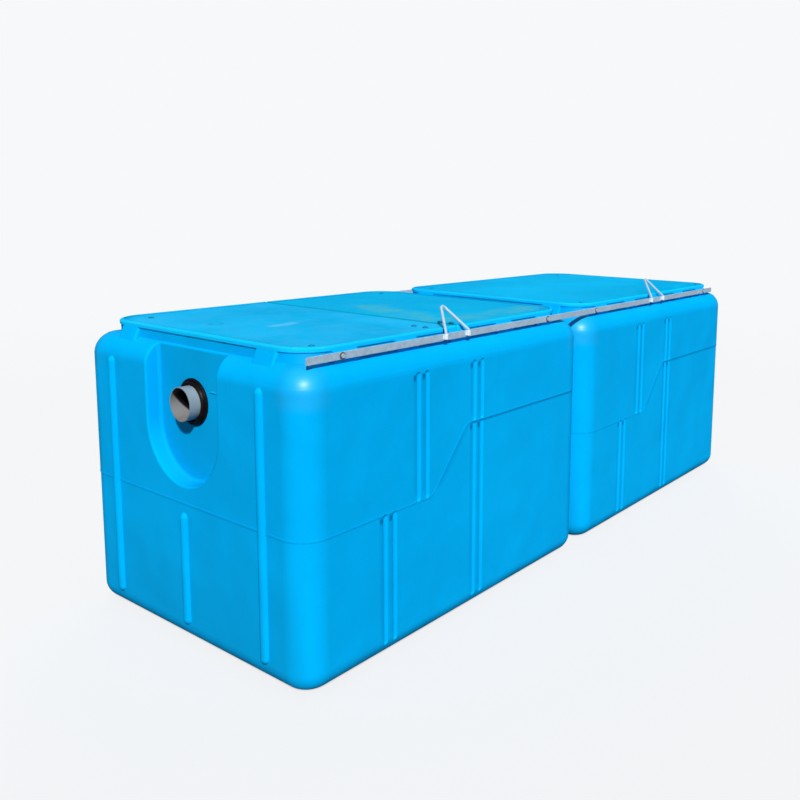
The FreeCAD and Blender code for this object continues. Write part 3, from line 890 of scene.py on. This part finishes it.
class SEPARATOR_OT_cover_plugs(Operator):
    """Add the plugs over the screws at the corners of the covers and beside the seam"""
    bl_idname = "separator.cover_plugs"
    bl_label = "Cover plugs"

    def execute(self, context):
        size = context.scene.separator_fitting
        plastic = plug_material(context.scene.separator_cover)
        beside_seam = {"front_tank_inlet_cover": (1, size.plug_before_seam),
                       "front_tank_rear_cover": (-1, size.plug_after_seam)}
        for cover in COVER_NODES:
            low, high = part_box(cover)
            near, far = low[1] + size.plug_from_side, high[1] - size.plug_from_far_side
            seam_end, from_seam = beside_seam.get(cover, (0, 0.0))
            number = 0
            for end in (-1, 1):
                spots = ((size.plug_from_end, near), (size.far_plug_from_end, far))
                height = size.plug_height
                if end == seam_end:
                    spots = ((from_seam, near), (from_seam, near + size.plug_pair))
                    height = size.seam_plug_height
                for reach, y in spots:
                    number += 1
                    x = low[0] + reach if end < 0 else high[0] - reach
                    foot = (x, y, high[2] - size.panel_drop)
                    self.add_plug(cover + "_plug_" + str(number), foot, size.plug_radius, height, plastic)
        return {"FINISHED"}

    def add_plug(self, name, foot, r, h, plastic):
        """A low domed plug with a groove round it and a six-sided hollow for prising."""
        rings = [(-PLUG_SUNK, r)] + [(h * up, r * out) for up, out in PLUG_RIM]
        for step in range(DOME_STEPS + 1):
            turn = pi / 2 * step / DOME_STEPS
            rings.append((h * (0.35 + 0.65 * sin(turn)), r * (0.30 + 0.48 * cos(turn))))
        rings += [(h, hexagon(r * 0.5, r)), (h * 0.55, hexagon(r * 0.44, r))]
        bm = bmesh.new()
        turned(bm, rings, Matrix.Translation(foot), segments=48)
        finished_piece(name, bm, plastic, sharp=30)


class SEPARATOR_OT_lug_welds(Operator):
    """Add the weld beads that hold the lugs' feet and sleeves"""
    bl_idname = "separator.lug_welds"
    bl_label = "Lug welds"

    def execute(self, context):
        radius = context.scene.separator_fitting.weld_radius
        zinc = zinc_material("bright zinc", context.scene.separator_steel)
        for sleeve in SLEEVE_NODES:
            low, high = (Vector(corner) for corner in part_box(sleeve))
            middle = (low.x + high.x) / 2
            reach = (high.x - low.x) / 2
            axis_y = low.y + reach
            bar = axis_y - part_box(sleeve.split("_lug_")[0] + "_lifting_lug")[0][1]
            around = (bar + reach) / 2
            bm = bmesh.new()
            for side in (-1, 1):
                foot = Vector((middle + side * (reach - WELD_IN_SLEEVE), high.y - WELD_IN_RAIL, low.z))
                rise = Vector((0, 0, high.z - low.z))
                path = [foot + rise * (i / WELD_STEPS) for i in range(WELD_STEPS + 1)]
                tube(bm, path, radius, WELD_LUMPS, segments=10)
            ring = [Vector((middle + around * cos(turn), axis_y + around * sin(turn), high.z))
                    for turn in round_angles(WELD_RING_STEPS)]
            tube(bm, ring, radius * 0.9, WELD_LUMPS, segments=12, closed=True)
            finished_piece(sleeve.replace("_sleeve", "_weld"), bm, zinc, sharp=80)
        return {"FINISHED"}


class SEPARATOR_OT_pocket_mark(Operator):
    """Add the small moulded bar beside the inlet seal"""
    bl_idname = "separator.pocket_mark"
    bl_label = "Pocket mark"

    def execute(self, context):
        finish = context.scene.separator_tank
        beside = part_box("inlet_seal")[0][1] - MARK_GAP
        centre = Vector((inlet.x + POCKET_DEPTH, beside, inlet.z + MARK_RISE))
        steps = [finish.mark_length * (i / MARK_STEPS - 0.5) for i in range(MARK_STEPS + 1)]
        bm = bmesh.new()
        path = [centre + Vector((0, step, 0)) for step in steps]
        tube(bm, path, finish.mark_height / 2, lumps=0.08, segments=14)
        material = frame["nodes"][TANK_NODES[0]].data.materials[0]
        finished_piece("inlet_pocket_mark", bm, material, sharp=60)
        return {"FINISHED"}


class SEPARATOR_OT_stage(Operator):
    """Set up the camera, the pale floor and the lights"""
    bl_idname = "separator.stage"
    bl_label = "Stage"

    def execute(self, context):
        setup = context.scene.separator_stage
        self.add_floor(setup)
        context.scene.world = self.new_world(setup)
        across = Vector((-cos(setup.key_turn), -sin(setup.key_turn), 0))
        to_key = across * cos(setup.key_elevation) + Vector((0, 0, sin(setup.key_elevation)))
        self.add_sun("key_light", to_key, setup.key, setup.key_width, glints=True)
        self.add_sun("back_light", BACK_TOWARDS, setup.back, BACK_WIDTH)
        self.add_sun("overhead_light", OVERHEAD_TOWARDS, setup.overhead, OVERHEAD_WIDTH)
        context.scene.camera = self.new_camera(setup)
        context.scene.view_settings.view_transform = "Standard"
        return {"FINISHED"}

    def add_floor(self, setup):
        """A wide pale floor that keeps a soft shadow and throws little light back."""
        g = Surface("studio floor")
        thrown = [setup.floor_share * part for part in setup.floor[:3]] + [1]
        material = g.finished({"Base Color": thrown, "Roughness": 0.9, "Specular IOR Level": 0.0})
        plain = g.shader.outputs[0]
        glow = g.node("ShaderNodeEmission", {"Color": setup.floor, "Strength": setup.floor_glow})[0]
        lit = g.node("ShaderNodeAddShader", (plain, glow))[0]
        haze = g.node("ShaderNodeEmission", {"Color": setup.backdrop, "Strength": 1.0})[0]
        far = g.spread(g.vector("LENGTH", g.here()), *FLOOR_FADE)
        lit = g.node("ShaderNodeMixShader", (far, lit, haze))[0]
        seen = g.node("ShaderNodeLightPath")["Is Camera Ray"]
        mixed = g.node("ShaderNodeMixShader", (seen, plain, lit))[0]
        g.fill(g.tree.nodes["Material Output"].inputs, {"Surface": mixed})
        bm = bmesh.new()
        bmesh.ops.create_circle(bm, cap_ends=True, segments=96, radius=setup.floor_radius)
        floor = placed("studio_floor", finished_mesh("studio_floor", bm, material))
        floor.visible_glossy = False

    def new_world(self, setup):
        """Even fill light, with a pale backdrop for the camera."""
        world = bpy.data.worlds.new("studio")
        world.use_nodes = True
        world.node_tree.nodes.clear()
        g = Graph(world.node_tree)
        fill = g.node("ShaderNodeBackground", {"Color": setup.fill_colour, "Strength": setup.fill})[0]
        pale = g.node("ShaderNodeBackground", {"Color": setup.backdrop, "Strength": 1.0})[0]
        seen = g.node("ShaderNodeLightPath")["Is Camera Ray"]
        mixed = g.node("ShaderNodeMixShader", (seen, fill, pale))[0]
        g.node("ShaderNodeOutputWorld", {"Surface": mixed})
        world.cycles_visibility.glossy = False
        return world

    def add_sun(self, name, towards, energy, width, glints=False):
        """A distant light that shines from a direction, with or without glints."""
        light = bpy.data.lights.new(name, "SUN")
        light.energy = energy
        light.angle = width
        lamp = placed(name, light)
        lamp.rotation_euler = towards.to_track_quat("Z", "Y").to_euler()
        lamp.location = towards * LAMP_DISTANCE
        lamp.visible_glossy = glints

    def new_camera(self, setup):
        """The camera at the viewing angle of the photograph."""
        data = bpy.data.cameras.new("camera")
        data.lens = setup.lens
        data.sensor_width = FRAME_WIDTH
        data.sensor_fit = "HORIZONTAL"
        data.shift_x, data.shift_y = setup.shift
        data.clip_end = 500
        camera = placed("camera", data)
        yaw = Matrix.Rotation(setup.camera_yaw - pi / 2, 4, "Z")
        pitch = Matrix.Rotation(pi / 2 - setup.camera_pitch, 4, "X")
        roll = Matrix.Rotation(-setup.camera_roll, 4, "Z")
        camera.matrix_world = Matrix.Translation(setup.camera_place) @ yaw @ pitch @ roll
        return camera


OPERATORS = (SEPARATOR_OT_tanks, SEPARATOR_OT_covers, SEPARATOR_OT_plumbing, SEPARATOR_OT_steelwork,
             SEPARATOR_OT_rail_bolts, SEPARATOR_OT_cover_plugs, SEPARATOR_OT_lug_welds,
             SEPARATOR_OT_pocket_mark, SEPARATOR_OT_stage)
SETTINGS = {"separator_tank": TankFinish, "separator_cover": CoverFinish,
            "separator_plumbing": PlumbingFinish, "separator_steel": SteelFinish,
            "separator_fitting": FittingSizes, "separator_stage": StageSetup}


class SEPARATOR_PT_panel(Panel):
    """Lists the pieces of the oil separator and their settings"""
    bl_label = "Oil separator"
    bl_space_type = "VIEW_3D"
    bl_region_type = "UI"
    bl_category = "Separator"

    def draw(self, context):
        for operator in OPERATORS:
            self.layout.operator(operator.bl_idname)
        for name, group in SETTINGS.items():
            box = self.layout.box()
            box.label(text=group.__doc__)
            for key in group.__annotations__:
                box.prop(getattr(context.scene, name), key)


CLASSES = (*SETTINGS.values(), *OPERATORS, SEPARATOR_PT_panel)


def register():
    for made in CLASSES:
        bpy.utils.register_class(made)
    for name, group in SETTINGS.items():
        setattr(bpy.types.Scene, name, PointerProperty(type=group))


def unregister():
    for name in SETTINGS:
        delattr(bpy.types.Scene, name)
    for made in reversed(CLASSES):
        bpy.utils.unregister_class(made)


def main():
    register()
    bpy.ops.separator.tanks()
    bpy.ops.separator.covers()
    bpy.ops.separator.plumbing()
    bpy.ops.separator.steelwork()
    bpy.ops.separator.rail_bolts()
    bpy.ops.separator.cover_plugs()
    bpy.ops.separator.lug_welds()
    bpy.ops.separator.pocket_mark()
    bpy.ops.separator.stage()


if __name__ == "__main__":
    main()
